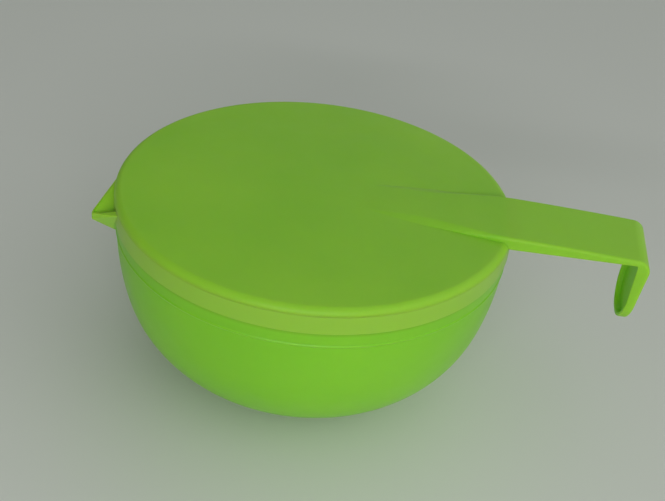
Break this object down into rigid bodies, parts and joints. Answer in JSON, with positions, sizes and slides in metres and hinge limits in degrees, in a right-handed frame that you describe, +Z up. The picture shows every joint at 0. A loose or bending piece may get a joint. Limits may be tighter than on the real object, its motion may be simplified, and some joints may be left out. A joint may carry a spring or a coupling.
{
  "type": "chip and dip server",
  "caption": "Round covered plastic bowl with a rim collar and a V-shaped pouring lip, a cap lid with a hooked channel handle, and a loose dip cup standing inside.",
  "frame": {"origin": "centre of the bowl's flat foot, on the bowl's axis, in the plane it stands on", "axes": "+Z up along the bowl's axis; +X along the lid's handle as the lid is stored; the pouring lip points 18.7 degrees from -X towards -Y"},
  "size_m": [0.2717, 0.2, 0.1037],
  "materials": {
    "bowl_plastic": "moulded lime green plastic, slightly translucent, satin gloss",
    "lid_plastic": "moulded lime green plastic, fine satin top, glossy shoulder",
    "cup_plastic": "moulded lime green plastic, satin gloss"
  },
  "bodies": {
    "bowl": {"bowl": "bowl_plastic"},
    "lid": {"lid": "lid_plastic"},
    "dip_cup": {"dip_cup": "cup_plastic"}
  },
  "joints": [
    {"name": "lid_lift", "type": "slide", "parent": "bowl", "child": "lid", "axis": [0, 0, 1], "range_m": [0, 0.22]},
    {"name": "dip_cup_lift", "type": "slide", "parent": "bowl", "child": "dip_cup", "axis": [0, 0, 1], "range_m": [0, 0.11]}
  ],
  "couplings": [
    {"joint": "dip_cup_lift", "follows": "lid_lift", "ratio": 0.5}
  ]
}
